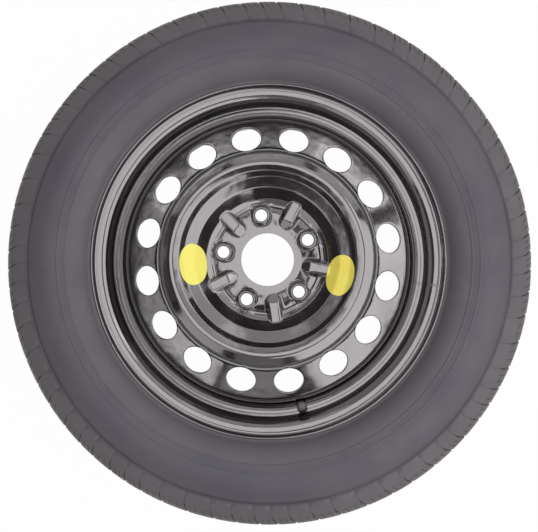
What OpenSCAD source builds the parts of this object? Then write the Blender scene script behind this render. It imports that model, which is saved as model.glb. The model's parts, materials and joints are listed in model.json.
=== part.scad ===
// Space saver spare wheel: a narrow temporary tyre on a pressed steel wheel with a snap-in valve.
// Origin: centre of the hub's mounting face. +Z: along the spin axis, away from the car.

/* [Tyre] */
// Outer diameter over the crown of the tread
tyre_od = 667; // [655:1:680]
// Width over the two sidewalls
section_w = 139; // [134:1:150]
// Where the tyre is widest, as a share of its height above the rim
wide_share = 0.403; // [0.36:0.01:0.46]
// Width between the two edges of the tread, before they are rounded
tread_w = 98; // [92:1:106]
// How much lower the tread's edge lies than its crown
crown_drop = 2; // [1:0.5:4]
// Rounding of the tread's edge
shoulder_round = 20; // [12:1:22]
// Thickness of rubber and plies under the crown
tread_t = 12; // [9:0.5:14]
// Thickness of the sidewall at its widest
wall_t = 7; // [4.5:0.5:8]
// Width of the bead where it sits on the rim
bead_w = 12.5; // [11.5:0.5:13]
// Depth of the tread's grooves
groove_depth = 6; // [4:0.5:7]
// Width of the grooves that run round the tread
groove_w = 6.5; // [4:0.5:8]
// Distance of the inner pair of grooves from the middle
groove_in = 12; // [9:0.5:14]
// Distance of the outer pair of grooves from the middle
groove_out = 31; // [27:0.5:33]
// Width of the slots across the shoulders
slot_w = 3.4; // [2:0.2:4.4]
// Lean of the slots from straight across
slot_lean = 14; // [0:1:18]
// How far inside the crown the line moulded round the shoulder lies, as a share of that height
line_share = 0.3; // [0.26:0.01:0.33]
// Half the tyre's width at that line, measured from the middle plane
line_z = 58; // [56:0.5:60]
// Width of that line
line_w = 3.4; // [2:0.2:4]
// Where the outer ridge on the sidewall lies, as a share of that height
ridge_share = 0.333; // [0.31:0.01:0.36]
// Where the inner ridge lies
step_share = 0.249; // [0.23:0.01:0.27]
// Height of the ridges on the sidewall
ridge_h = 0.7; // [0.3:0.1:1.2]

/* [Rim] */
// Diameter of the bead seats
rim_d = 405.6; // [403:0.2:407]
// Width between the flanges
rim_w = 88.9; // [86:0.1:92]
// Height of the flanges above the bead seats
flange_h = 19; // [18:0.1:20]
// How far the flange's lip stands out from its face
flange_lip = 10.2; // [9.8:0.1:11]
// Thickness of the rim's sheet
rim_t = 2.6; // [2.2:0.1:3]
// Width of the bead seat
seat_w = 13; // [13:0.1:14]
// Depth of the well below the bead seats
well_depth = 17.3; // [16.6:0.1:18]
// Slope of the ledge between the bead seat and the well
ledge_tilt = 18; // [14:1:21]

/* [Disc] */
// Distance from the rim's middle plane to the mounting face
wheel_offset = 75.5; // [74:0.5:77]
// Thickness of the disc's sheet
disc_t = 4.5; // [4:0.1:5]
// Diameter of the centre bore
bore_d = 63.4; // [58:0.1:68]
// Radius of the flat hub area inside the bowl
hub_r = 68; // [66:0.5:69]
// Width of the slope between it and the foot of the bowl's wall
foot_w = 5; // [4:0.1:6]
// Height of that foot above the hub area
foot_h = 3.2; // [2.5:0.1:4]
// Width of the steep part of the bowl's wall
wall_w = 13; // [12:0.1:14]
// Height there above the hub area
wall_h = 14.2; // [13.5:0.1:14.8]
// Width of the bowl's terrace
terrace_w = 12.4; // [11:0.1:13.4]
// Height there above the hub area
terrace_h = 18; // [17:0.1:18.6]
// Width of the short rise outside the terrace
rise_w = 4.8; // [4:0.1:6]
// Height there above the hub area
rise_h = 23; // [22:0.1:24]
// Width from there to the nose's crest
nose_w = 9.8; // [8.8:0.1:11.8]
// Height of the corner that is rounded into the crest
nose_h = 27.8; // [27:0.1:29]
// Width from the crest to where the nose's outer side turns steep
brow_w = 11.6; // [10:0.1:13]
// Height there above the hub area
brow_h = 21.9; // [21:0.1:22.6]
// Width of that steep side
nose_side_w = 6; // [5:0.1:6.8]
// Height of that foot above the hub area
nose_foot_h = 14.2; // [13:0.2:15]
// Slope of the cone that holds the vent holes
cone_tilt = 28; // [24:1:30]
// How far inside the skirt the cone turns down
shoulder_w = 10.4; // [9:0.1:13]
// Length of the skirt that lies against the rim's well
skirt_len = 22; // [14:1:26]

/* [Holes and ribs] */
// Number of vent holes
vent_count = 16; // [8:1:17]
// Diameter of a vent hole
vent_d = 35.4; // [24:0.2:36]
// Distance of the circle that the vent holes lie on from the nose's outer foot
vent_gap = 16.2; // [15.4:0.1:17.4]
// Number of bolt holes and of ribs between them
bolt_count = 5; // [3:1:5]
// Diameter of the bolt circle
pcd = 108; // [106:0.5:110]
// Diameter of a bolt hole
bolt_d = 14.2; // [12:0.1:15]
// Diameter of the top of a nut's conical seat
seat_d = 16.6; // [16:0.1:19]
// Height of the ring round it above the hub area
ring_h = 0.5; // [0.3:0.1:0.8]
// Width of that ring at its top
ring_w = 0.8; // [0.5:0.1:1.2]
// Diameter of the pressed pocket round a seat
pocket_d = 31; // [27:0.5:32]
// Depth of that pocket
pocket_depth = 2; // [0.8:0.1:2.2]
// Height of the ribs above the hub area
rib_h = 5.5; // [4:0.5:6.5]
// Width of a rib at its base
rib_base_w = 19; // [16:0.5:20]
// Width of a rib at its top
rib_top_w = 11.5; // [9:0.5:13]
// Radius of a rib's inner end
rib_in_r = 41; // [39:0.5:44]
// Length of the slope at that end
rib_slope = 11.5; // [8:0.5:13]
// Number of welds between disc and rim
weld_count = 8; // [4:1:12]
// Length of one weld round the rim, as an angle
weld_sweep = 14; // [8:1:20]
// Size of a weld's two legs
weld_leg = 4; // [3:0.1:4.2]

/* [Valve] */
// Diameter of the valve hole in the rim
valve_hole_d = 11.5; // [11.2:0.1:12]
// Distance from the well's face to where the valve passes through the ledge
valve_gap = 9.7; // [9.1:0.1:10.5]
// Height of the stem's end above the ledge
valve_len = 30; // [28:0.5:32]
// Diameter over the stem's outer thread
stem_d = 7.7; // [7.2:0.1:8]
// Length of that thread
thread_len = 10; // [8:0.5:11]
// Diameter of the rubber body where it leaves the rim
rubber_d = 13; // [12.6:0.1:13.6]
// Diameter of the rubber button inside the tyre
button_d = 17; // [15:0.5:18]
// Outer diameter of the valve cap
cap_d = 11.6; // [11:0.1:12]
// Thickness of the cap's top above the seal
cap_top = 2.2; // [1.5:0.1:3]
// Diameter of the core's threaded head
core_d = 5.2; // [5:0.1:5.4]
// Length of the core's head
core_head_len = 4; // [3:0.5:4.5]
// Diameter of the core's pin
pin_d = 0.9; // [0.8:0.05:1.1]
// Diameter of the core spring's wire
wire_d = 0.25; // [0.2:0.01:0.3]
// Turns of the core's spring
spring_turns = 7; // [5:1:9]

/* [Stickers] */
// Size of a sticker along the bowl's rim
sticker_len = 48; // [40:1:52]
// Size of a sticker across the bowl
sticker_w = 29.8; // [28:0.1:33]
// Distance of a sticker from the foot of the bowl's wall
sticker_gap = 0; // [0:0.1:2]
// Thickness of a sticker
sticker_t = 0.2; // [0.15:0.05:0.3]

/* [Hidden] */
$fn = 96;

// Gap of parts that seat against each other, and of the core's moving pin
fit = 0.05;
pin_fit = 0.15;
// Clearance all round what the cap moves over
cap_fit = 0.3;
// Largest turn between two neighbouring points of a rounded corner
arc_step = 12;
// Overshoot of a cut past the face it leaves
past = 1;

// Angles, anticlockwise from +X as seen from outside the car
bolt_angle = 98.2;
vent_angle = 10;
valve_angle = -77;
sticker_left_angle = 184;
sticker_right_angle = 347.5;
rib_angle = bolt_angle + 180 / bolt_count;

// Widths of the tread's blocks in degrees: one quarter of the tread, repeated four times
block_pitches = [4, 4, 5, 5, 6, 6, 5, 6, 5, 4, 5, 4, 4, 5, 6, 6, 5, 5];
quarters = 4;
// How far the inboard shoulder's blocks are turned from the outboard ones
block_shift = 2.5;

function unit(v) = v / norm(v);
function turned(v, a) = [v.x * cos(a) - v.y * sin(a), v.x * sin(a) + v.y * cos(a)];
function reversed(list) = [for (i = [len(list) - 1:-1:0]) list[i]];
function mirrored(list) = [for (p = reversed(list)) [p.x, -p.y]];
function total(list, n) = n == 0 ? 0 : list[n - 1] + total(list, n - 1);

// Corner b of the outline a, b, c as an arc of radius r
function corner(a, b, c, r) =
    let (u = unit(a - b), v = unit(c - b), half = acos(u * v) / 2, sweep = 180 - 2 * half)
    let (middle = b + unit(u + v) * r / sin(half), start = b + u * r / tan(half) - middle)
    let (way = sign(cross(b - a, c - b)), steps = max(1, ceil(sweep / arc_step)))
    [for (i = [0:steps]) middle + turned(start, way * sweep * i / steps)];
// Outline through points [x, y, radius], each rounded by its radius, 0 for a sharp one
function rounded(points) = [for (i = [0:len(points) - 1])
    let (p = points[i], here = [p.x, p.y])
    each i == 0 || i == len(points) - 1 || p.z == 0 ? [here] :
        corner([points[i - 1].x, points[i - 1].y], here, [points[i + 1].x, points[i + 1].y], p.z)];
// Cubic curve from a to d, pulled towards b and c
function curve(a, b, c, d, steps) = [for (i = [0:steps])
    let (t = i / steps, s = 1 - t)
    s * s * s * a + 3 * s * s * t * b + 3 * s * t * t * c + t * t * t * d];
// Path moved sideways by t, to the right of the way it runs
function beside(path, t) = [for (i = [0:len(path) - 1])
    let (before = unit(path[max(i, 1)] - path[max(i, 1) - 1]))
    let (after = unit(path[min(i, len(path) - 2) + 1] - path[min(i, len(path) - 2)]))
    let (n1 = [before.y, -before.x], n2 = [after.y, -after.x], m = unit(n1 + n2))
    path[i] + m * t / (m * n1)];
// Closed outline between a path moved by one distance and the same path moved by another
function strip(path, from, to) = concat(beside(path, from), reversed(beside(path, to)));

// Rim: the side towards the axis, from the outboard lip to the inboard one, in [radius, height]
flange_face = rim_w / 2;
lip_r = rim_d / 2 + flange_h - rim_t;
lip_z = flange_face + flange_lip;
seat_taper = 5;
seat_end_z = flange_face - seat_w;
seat_in_r = rim_d / 2 - rim_t;
seat_end_r = seat_in_r - seat_w * tan(seat_taper);
well_in_r = rim_d / 2 - well_depth - rim_t;
well_z = seat_end_z - (seat_end_r - well_in_r) * tan(ledge_tilt);
curl_round = 3.9;
heel_round = 15;
seat_end_round = 2;
well_round = 7;
rim_half = [
    [lip_r, lip_z, 0],
    [lip_r, flange_face + rim_t, curl_round],
    [seat_in_r, flange_face + rim_t, heel_round],
    [seat_end_r, seat_end_z, seat_end_round],
    [well_in_r, well_z, well_round]];
rim_path = rounded(concat(rim_half, [for (p = reversed(rim_half)) [p.x, -p.y, p.z]]));
function ledge_z(r) = seat_end_z - (seat_end_r - r) * tan(ledge_tilt);

valve_r = well_in_r + valve_gap;

// Disc: the outboard side, from the centre bore to the skirt's end, in [radius, height]
foot_r = hub_r + foot_w;
wall_r = foot_r + wall_w;
terrace_r = wall_r + terrace_w;
rise_r = terrace_r + rise_w;
nose_r = rise_r + nose_w;
brow_r = nose_r + brow_w;
nose_foot_r = brow_r + nose_side_w;
vent_r = nose_foot_r + vent_gap;
skirt_r = well_in_r - fit;
shoulder_r = skirt_r - shoulder_w;
skirt_top = -wheel_offset + well_z - 3;
skirt_end = skirt_top - skirt_len;
nose_foot_z = disc_t + nose_foot_h;
cone_z = nose_foot_z - (shoulder_r - nose_foot_r) * tan(cone_tilt);
vent_z = nose_foot_z - (vent_r - nose_foot_r) * tan(cone_tilt);
disc_path = rounded([
    [bore_d / 2, disc_t, 0],
    [hub_r, disc_t, 4],
    [foot_r, disc_t + foot_h, 6],
    [wall_r, disc_t + wall_h, 7],
    [terrace_r, disc_t + terrace_h, 3],
    [rise_r, disc_t + rise_h, 6],
    [nose_r, disc_t + nose_h, 9],
    [brow_r, disc_t + brow_h, 6],
    [nose_foot_r, nose_foot_z, 4],
    [shoulder_r, cone_z, 14],
    [skirt_r, skirt_top, 20],
    [skirt_r, skirt_end, 0]]);

// Tyre: the outer side of one half, from the bead's toe to the crown, in [radius, height]
half_w = section_w / 2;
crown_r = tyre_od / 2;
edge_r = crown_r - crown_drop;
toe_z = flange_face - bead_w;
toe_r = rim_d / 2 - bead_w * tan(seat_taper) + fit;
cushion_r = rim_d / 2 + flange_h + fit;
cushion_round = 0.6;
cushion_z = flange_face + curl_round + rim_t + 1.7;
section_h = crown_r - cushion_r;
wide_r = cushion_r + wide_share * section_h;
line_r = crown_r - line_share * section_h;
ridge_r = cushion_r + ridge_share * section_h;
step_r = cushion_r + step_share * section_h;
// Unit of length for how hard the curves of the wall are pulled
pull = section_h / 100;
wall_start = [cushion_r + 3.4, cushion_z + 1];
wall_mid = [wide_r, half_w];
line_mid = [line_r, line_z];
line_depth = 1.2;
line_slope = 29;
bead_path = rounded([
    [toe_r, toe_z, 0],
    [rim_d / 2 + fit, flange_face - fit, heel_round - rim_t],
    [cushion_r, flange_face - fit, curl_round + rim_t + fit],
    [cushion_r, cushion_z, cushion_round],
    [wall_start.x, wall_start.y, 0]]);
low_wall = curve(wall_start, wall_start + pull * [8, 8.8], wall_mid - pull * [16.8, 0], wall_mid, 8);
high_wall = curve(wall_mid, wall_mid + pull * [11.5, 0], line_mid + pull * [-8.8, 4.9], line_mid, 8);
tread_path = rounded([
    [line_r, line_z, 0],
    [edge_r, tread_w / 2, shoulder_round],
    [crown_r, 0, 0]]);
function tail(list) = [for (i = [1:len(list) - 1]) list[i]];
tyre_half = concat(bead_path, tail(low_wall), tail(high_wall), tail(tread_path));

// Tyre: the side towards the air, from the crown to the bead's toe
liner_crown = [crown_r - tread_t, 0];
liner_edge = [edge_r - tread_t - 4, tread_w / 2 - 7];
liner_wide = [wide_r, half_w - wall_t];
// How far inside the moulded line the liner's curve is pulled
shoulder_t = 4;
liner_shoulder = [liner_edge.x - 10.6 * pull, line_z - shoulder_t];
liner_bead = [toe_r + 17, toe_z + 5];
liner_toe = [toe_r + 1.5, toe_z - 0.6];
liner_half = concat(
    curve(liner_crown, liner_crown + [0, 20], liner_edge + [4, -12], liner_edge, 6),
    tail(curve(liner_edge, liner_shoulder, liner_wide + pull * [17.7, 0], liner_wide, 6)),
    tail(curve(liner_wide, liner_wide - pull * [19.4, 0], liner_bead + pull * [8.8, 7.1], liner_bead, 6)),
    [liner_toe]);

// Valve: heights are measured along it from the ledge's surface
stem_r = stem_d / 2;
stem_low_r = stem_r - 0.7;
stem_low_end = -9;
thread_start = valve_len - thread_len;
rubber_top = thread_start - 0.4;
core_bore_r = core_d / 2 + fit;
core_low_r = 2.1;
core_seat = valve_len - core_head_len - 5;
head_bottom = valve_len - core_head_len;
barrel_r = core_low_r - 0.35;
barrel_bore_r = barrel_r - 0.45;
barrel_top = head_bottom - fit;
barrel_len = 12;
barrel_bottom = barrel_top - barrel_len;
web_t = 1;
pin_r = pin_d / 2;
pin_top = valve_len - 0.3;
collar_r = barrel_bore_r - pin_fit;
collar_top = barrel_top - 3;
collar_len = 1;
seal_t = 1;
cup_t = 1.6;
cup_r = barrel_r - 0.1;
seal_top = barrel_bottom - fit;
cup_top = seal_top - seal_t - fit;
pin_bottom = cup_top - cup_t;
spring_r = barrel_bore_r - wire_d / 2 - 0.1;
spring_low = barrel_bottom + web_t + wire_d / 2 + fit;
spring_high = collar_top - collar_len - wire_d / 2 - fit;
cap_bore_r = stem_r + cap_fit;
cap_low = thread_start + 0.4;
cap_seal_t = 1;
cap_seal_low = valve_len + 0.3;
cap_room_top = cap_seal_low + cap_seal_t + cap_fit;
cap_high = cap_room_top + cap_top;

module at_rim_middle() {
    translate([0, 0, -wheel_offset]) children();
}

// Frame of the valve: origin on the ledge's surface, +Z out along the valve
module at_valve() {
    at_rim_middle()
        rotate([0, 0, valve_angle])
            translate([valve_r, 0, ledge_z(valve_r)])
                rotate([0, -ledge_tilt, 0])
                    children();
}

module tube(outer_r, inner_r, low, high) {
    difference() {
        translate([0, 0, low]) cylinder(r = outer_r, h = high - low);
        translate([0, 0, low - past]) cylinder(r = inner_r, h = high - low + 2 * past);
    }
}

module groove_section(z) {
    translate([crown_r - groove_depth, z - groove_w / 2]) square([groove_depth + past, groove_w]);
}

// Outline of a small ridge across the sidewall at radius r, laid along the wall's slope
function ridge_outline(r) = [
    for (p = [[-1.3, -1.2], [-0.5, ridge_h], [0.5, ridge_h], [1.3, -1.2]])
        [r, wall_z(r)] + turned(p, wall_slope(r))];

// Height of the sidewall's lower curve at radius r, between two of its points
function wall_z(r) =
    let (k = max([for (i = [0:len(low_wall) - 2]) low_wall[i].x <= r ? i : 0]))
    let (a = low_wall[k], b = low_wall[k + 1])
    a.y + (b.y - a.y) * (r - a.x) / (b.x - a.x);
function wall_slope(r) =
    let (k = max([for (i = [0:len(low_wall) - 2]) low_wall[i].x <= r ? i : 0]))
    let (a = low_wall[k], b = low_wall[k + 1])
    atan2(b.y - a.y, b.x - a.x);

module tyre_section() {
    difference() {
        union() {
            polygon(concat(tyre_half, tail(mirrored(tyre_half)),
                mirrored(liner_half), tail(liner_half)));
            for (r = [ridge_r, step_r]) {
                polygon(ridge_outline(r));
                polygon(mirrored(ridge_outline(r)));
            }
        }
        for (z = [-groove_out, -groove_in, groove_in, groove_out]) groove_section(z);
        for (side = [-1, 1])
            translate([line_r, side * line_z])
                rotate([0, 0, -side * line_slope])
                    square([line_w, 2 * line_depth], center = true);
    }
}

// Slot from the outer groove over the shoulder, fading out at the moulded line
module shoulder_slot() {
    floor_path = [
        [crown_r - groove_depth, groove_out],
        [edge_r - 1.5 * groove_depth, tread_w / 2 - 0.9 * groove_depth],
        [line_r + 4, line_z - 1.2]];
    rotate([slot_lean, 0, 0])
        rotate([90, 0, 0])
            linear_extrude(slot_w, center = true)
                polygon(concat(floor_path,
                    [[line_r + 6, half_w], [crown_r + 4, half_w], [crown_r + 4, groove_out]]));
}

module tyre() {
    color("dimgray")
        at_rim_middle()
            difference() {
                rotate_extrude() tyre_section();
                for (q = [0:quarters - 1], i = [0:len(block_pitches) - 1]) {
                    at = q * 360 / quarters + total(block_pitches, i);
                    rotate([0, 0, at]) shoulder_slot();
                    rotate([0, 0, at + block_shift]) mirror([0, 0, 1]) shoulder_slot();
                }
            }
}

module rim() {
    color([0.1, 0.09, 0.09])
        difference() {
            at_rim_middle() rotate_extrude() polygon(strip(rim_path, 0, -rim_t));
            at_valve()
                translate([0, 0, -rim_t - past])
                    cylinder(d = valve_hole_d, h = rim_t + 2 * past);
        }
}

module vent_cut() {
    translate([vent_r, 0, vent_z])
        rotate([0, cone_tilt, 0])
            cylinder(d = vent_d, h = 4 * disc_t, center = true);
}

// A nut's seat: a pocket pressed into the hub, with a raised ring round the hole
ring_top = disc_t + ring_h;
ring_foot_w = 6.4;
seat_half_angle = 30;
pocket_draft = 20;
module nut_pocket() {
    rise = foot_h + past;
    translate([pcd / 2, 0, disc_t - pocket_depth])
        cylinder(r1 = pocket_d / 2 - pocket_depth * tan(pocket_draft),
            r2 = pocket_d / 2 + rise * tan(pocket_draft), h = pocket_depth + rise);
}

module nut_ring() {
    translate([pcd / 2, 0, disc_t / 4])
        cylinder(r1 = seat_d / 2 + ring_foot_w, r2 = seat_d / 2 + ring_w, h = ring_top - disc_t / 4);
}

module nut_hole() {
    seat_z = ring_top - (seat_d - bolt_d) / 2 / tan(seat_half_angle);
    translate([pcd / 2, 0, 0])
        rotate_extrude()
            polygon([[0, -past], [bolt_d / 2, -past], [bolt_d / 2, seat_z],
                [seat_d / 2 + past * tan(seat_half_angle), ring_top + past], [0, ring_top + past]]);
}

// Solid with the same outline seen along the radius and seen from the side
module ridge_block(across, along, reach) {
    intersection() {
        rotate([90, 0, 90]) linear_extrude(reach) polygon(across);
        rotate([90, 0, 0]) linear_extrude(reach, center = true) polygon(along);
    }
}

rib_low = disc_t - 1;
rib_top = disc_t + rib_h;
rib_flat_r = rib_in_r + rib_slope;
rib_end_r = foot_r + 3;
module rib() {
    flare = (rib_base_w - rib_top_w) / 2 / rib_h;
    low_half = rib_base_w / 2 + flare;
    ridge_block(
        [[-low_half, rib_low], [low_half, rib_low], [rib_top_w / 2, rib_top], [-rib_top_w / 2, rib_top]],
        [[rib_in_r - rib_slope / rib_h, rib_low], [foot_r - 1, rib_low],
            [rib_end_r, disc_t + foot_h], [rib_end_r, rib_top], [rib_flat_r, rib_top]],
        rib_end_r + past);
}

// The hollow that the rib's pressing leaves in the mounting face
module rib_hollow() {
    top = rib_top - disc_t;
    ridge_block(
        [[-rib_top_w / 2 - past, -past], [rib_top_w / 2 + past, -past], [rib_top_w / 4, top],
            [-rib_top_w / 4, top]],
        [[rib_in_r + 4, -past], [foot_r - 3, -past], [foot_r - 3, top], [rib_flat_r + 3, top]],
        foot_r);
}

module wheel_disc() {
    color([0.12, 0.1, 0.1])
        difference() {
            union() {
                difference() {
                    rotate_extrude() polygon(strip(disc_path, 0, disc_t));
                    for (i = [0:bolt_count - 1])
                        rotate([0, 0, bolt_angle + i * 360 / bolt_count]) nut_pocket();
                }
                for (i = [0:bolt_count - 1]) {
                    rotate([0, 0, bolt_angle + i * 360 / bolt_count]) nut_ring();
                    rotate([0, 0, rib_angle + i * 360 / bolt_count]) rib();
                }
            }
            for (i = [0:bolt_count - 1]) {
                rotate([0, 0, bolt_angle + i * 360 / bolt_count]) nut_hole();
                rotate([0, 0, rib_angle + i * 360 / bolt_count]) rib_hollow();
            }
            for (i = [0:vent_count - 1])
                rotate([0, 0, vent_angle + i * 360 / vent_count]) vent_cut();
        }
}

// Fillet welds in the corner between the skirt's end and the well
module weld_seams() {
    top = skirt_end - fit;
    color("dimgray")
        for (i = [0:weld_count - 1])
            rotate([0, 0, vent_angle + (i + 0.5) * 360 / weld_count - weld_sweep / 2])
                rotate_extrude(angle = weld_sweep)
                    difference() {
                        translate([skirt_r - weld_leg, top - weld_leg]) square(weld_leg);
                        translate([skirt_r - weld_leg, top - weld_leg]) circle(r = 0.75 * weld_leg);
                    }
}

// The rim's sheet with a gap round it, where the valve's rubber lies against it
module rim_room() {
    at_rim_middle()
        rotate([0, 0, valve_angle - 6])
            rotate_extrude(angle = 12)
                polygon(strip(rim_path, fit, -rim_t - fit));
}

module valve_body() {
    neck_r = valve_hole_d / 2 - fit;
    rubber_r = rubber_d / 2;
    color([0.08, 0.08, 0.08])
        difference() {
            union() {
                difference() {
                    at_valve() rotate_extrude() polygon([
                        [0, -rim_t - 5.5], [button_d / 2 - 2, -rim_t - 5.5],
                        [button_d / 2, -rim_t - 3.5], [button_d / 2, -rim_t + 0.6], [neck_r, -rim_t + 0.6],
                        [neck_r, -0.6], [rubber_r, -0.6], [rubber_r, 3.5], [stem_r + 1.5, rubber_top - 4],
                        [stem_r + 0.9, rubber_top], [0, rubber_top]]);
                    rim_room();
                }
                at_valve()
                    translate([0, 0, -rim_t - past])
                        cylinder(r = neck_r, h = rim_t + 2 * past);
            }
            at_valve() {
                translate([0, 0, stem_low_end - past])
                    cylinder(r = stem_low_r + fit, h = valve_len);
            }
        }
}

module valve_stem() {
    color("goldenrod")
        at_valve()
            difference() {
                union() {
                    translate([0, 0, stem_low_end])
                        cylinder(r = stem_low_r, h = thread_start - stem_low_end);
                    translate([0, 0, thread_start]) cylinder(r = stem_r, h = thread_len - 0.5);
                    translate([0, 0, valve_len - 0.5]) cylinder(r1 = stem_r, r2 = stem_r - 0.5, h = 0.5);
                }
                translate([0, 0, stem_low_end - past])
                    cylinder(r = core_low_r, h = core_seat - stem_low_end + past + fit);
                translate([0, 0, core_seat]) cylinder(r = core_bore_r, h = valve_len);
            }
}

// Brass head of the core, with two flats for the key
module core_head() {
    flat = core_d * 0.32;
    color("gold")
        at_valve()
            difference() {
                translate([0, 0, head_bottom]) cylinder(d = core_d, h = core_head_len - fit);
                translate([0, 0, head_bottom - past]) cylinder(r = pin_r + pin_fit, h = core_head_len + 2 * past);
                for (side = [0, 180])
                    rotate([0, 0, side])
                        translate([flat, -core_d, valve_len - 2]) cube([core_d, 2 * core_d, 2 + past]);
            }
}

module core_barrel() {
    color("gold")
        at_valve()
            difference() {
                translate([0, 0, barrel_bottom]) cylinder(r = barrel_r, h = barrel_len);
                translate([0, 0, barrel_bottom + web_t]) cylinder(r = barrel_bore_r, h = barrel_len);
                translate([0, 0, barrel_bottom - past]) cylinder(r = pin_r + pin_fit, h = barrel_len);
            }
}

// White ring that seals the barrel in the stem's step
module core_gasket() {
    color("white")
        at_valve()
            difference() {
                translate([0, 0, core_seat + fit])
                    cylinder(r1 = core_low_r, r2 = core_bore_r - 0.1, h = 2.4);
                translate([0, 0, core_seat - past]) cylinder(r = barrel_r + fit / 2, h = 2.4 + 3 * past);
            }
}

module core_pin() {
    color("gold")
        at_valve() {
            translate([0, 0, pin_bottom]) cylinder(r = pin_r, h = pin_top - pin_bottom);
            translate([0, 0, collar_top - collar_len]) cylinder(r = collar_r, h = collar_len);
        }
}

module core_cup() {
    color("gold")
        at_valve()
            tube(cup_r, pin_r + fit / 2, cup_top - cup_t, cup_top);
}

module core_seal() {
    color([0.1, 0.1, 0.1])
        at_valve()
            tube(cup_r, pin_r + fit / 2, seal_top - seal_t, seal_top);
}

// Coil spring round the pin, between the barrel's web and the pin's collar
spring_steps = 14;
spring_sides = 6;
function spring_point(i, j) =
    let (a = 360 * i / spring_steps, b = 360 * j / spring_sides)
    let (rise = (spring_high - spring_low) * i / (spring_turns * spring_steps))
    let (r = spring_r + wire_d / 2 * cos(b))
    [r * cos(a), r * sin(a), spring_low + rise + wire_d / 2 * sin(b)];
module core_spring() {
    rings = spring_turns * spring_steps;
    points = [for (i = [0:rings], j = [0:spring_sides - 1]) spring_point(i, j)];
    function at(i, j) = i * spring_sides + j % spring_sides;
    sides = [for (i = [0:rings - 1], j = [0:spring_sides - 1])
        each [[at(i, j), at(i, j + 1), at(i + 1, j + 1)], [at(i, j), at(i + 1, j + 1), at(i + 1, j)]]];
    low_end = [for (j = [spring_sides - 1:-1:0]) at(0, j)];
    high_end = [for (j = [0:spring_sides - 1]) at(rings, j)];
    color("silver")
        at_valve() polyhedron(points, concat(sides, [low_end, high_end]));
}

module valve_cap() {
    cap_r = cap_d / 2;
    color([0.16, 0.16, 0.16])
        at_valve()
            difference() {
                rotate_extrude() polygon(rounded([
                    [0, cap_low, 0],
                    [cap_r - 0.3, cap_low, 0.8],
                    [cap_r, cap_high - 5, 6],
                    [cap_r - 1.8, cap_high, 2.2],
                    [0, cap_high, 0]]));
                translate([0, 0, cap_low - past])
                    cylinder(r = cap_bore_r, h = cap_room_top - cap_low + past);
            }
}

module cap_seal() {
    color([0.1, 0.1, 0.1])
        at_valve()
            translate([0, 0, cap_seal_low]) cylinder(r = cap_bore_r - cap_fit, h = cap_seal_t);
}

// Oval label that bends round with the bowl's wall, cut out where the end of a rib stands in it
sticker_squareness = 2.3;
sticker_r = foot_r + sticker_gap + sticker_w / 2;
function oval(a) =
    let (n = sticker_squareness, reach = pow(pow(abs(cos(a)), n) + pow(abs(sin(a)), n), -1 / n))
    let (r = sticker_r + sticker_w / 2 * reach * cos(a))
    turned([r, 0], sticker_len / 2 * reach * sin(a) / sticker_r * 180 / PI);
module sticker(angle) {
    color("gold")
        difference() {
            intersection() {
                rotate_extrude() polygon(strip(disc_path, -fit, -fit - sticker_t));
                rotate([0, 0, angle])
                    linear_extrude(disc_t + nose_h)
                        polygon([for (a = [0:7.5:359]) oval(a)]);
            }
            for (i = [0:bolt_count - 1])
                rotate([0, 0, rib_angle + i * 360 / bolt_count]) translate([0, 0, 2 * fit]) rib();
        }
}

module sticker_left() {
    sticker(sticker_left_angle);
}

module sticker_right() {
    sticker(sticker_right_angle);
}

tyre();
rim();
wheel_disc();
weld_seams();
valve_body();
valve_stem();
core_head();
core_barrel();
core_gasket();
core_pin();
core_cup();
core_seal();
core_spring();
valve_cap();
cap_seal();
sticker_left();
sticker_right();
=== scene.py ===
import json
import math

import bpy
import numpy as np
from mathutils import Matrix, Vector, noise


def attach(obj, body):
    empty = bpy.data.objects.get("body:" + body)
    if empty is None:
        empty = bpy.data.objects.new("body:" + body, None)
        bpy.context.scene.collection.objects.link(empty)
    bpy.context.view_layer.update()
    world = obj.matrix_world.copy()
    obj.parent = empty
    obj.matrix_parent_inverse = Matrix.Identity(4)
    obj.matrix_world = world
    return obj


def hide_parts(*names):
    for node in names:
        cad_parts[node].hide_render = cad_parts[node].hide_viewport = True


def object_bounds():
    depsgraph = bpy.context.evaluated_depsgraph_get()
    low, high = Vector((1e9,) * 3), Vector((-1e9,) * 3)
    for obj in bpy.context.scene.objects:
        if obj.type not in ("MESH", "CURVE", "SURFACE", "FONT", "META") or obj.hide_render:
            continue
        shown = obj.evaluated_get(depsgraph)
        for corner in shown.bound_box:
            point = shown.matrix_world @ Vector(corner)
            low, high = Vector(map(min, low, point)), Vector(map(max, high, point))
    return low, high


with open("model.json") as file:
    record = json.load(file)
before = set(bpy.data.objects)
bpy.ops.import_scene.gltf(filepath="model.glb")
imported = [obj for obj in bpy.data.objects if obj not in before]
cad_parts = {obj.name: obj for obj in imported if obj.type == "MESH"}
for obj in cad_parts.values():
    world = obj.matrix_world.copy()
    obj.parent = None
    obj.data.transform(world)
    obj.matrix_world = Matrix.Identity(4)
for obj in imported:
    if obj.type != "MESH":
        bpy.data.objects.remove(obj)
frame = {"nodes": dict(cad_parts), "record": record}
cad_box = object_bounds()

# Lengths are in millimetres up to the last step of each mesh, as in the CAD. Z is the spin axis.
MM = 0.001

# Angles, anticlockwise from +X as seen from outside the car, in degrees
BOLT_ANGLE = 98.2
VENT_ANGLE = 10.0
VALVE_ANGLE = -77.0
STICKERS = {"sticker_left": 184.0, "sticker_right": 347.5}
SEAM_ANGLE = -8.5
SCUFF_ANGLE = 2.0
BOLTS = 5
VENTS = 16
BOLT_STEP = 360 / BOLTS

# The rim's middle plane lies this far inboard of the mounting face
OFFSET = 75.5


# Plane geometry

def unit(v):
    return v / np.linalg.norm(v)


def turned(v, angle):
    c, s = math.cos(angle), math.sin(angle)
    return np.array([v[0] * c - v[1] * s, v[0] * s + v[1] * c])


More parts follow.
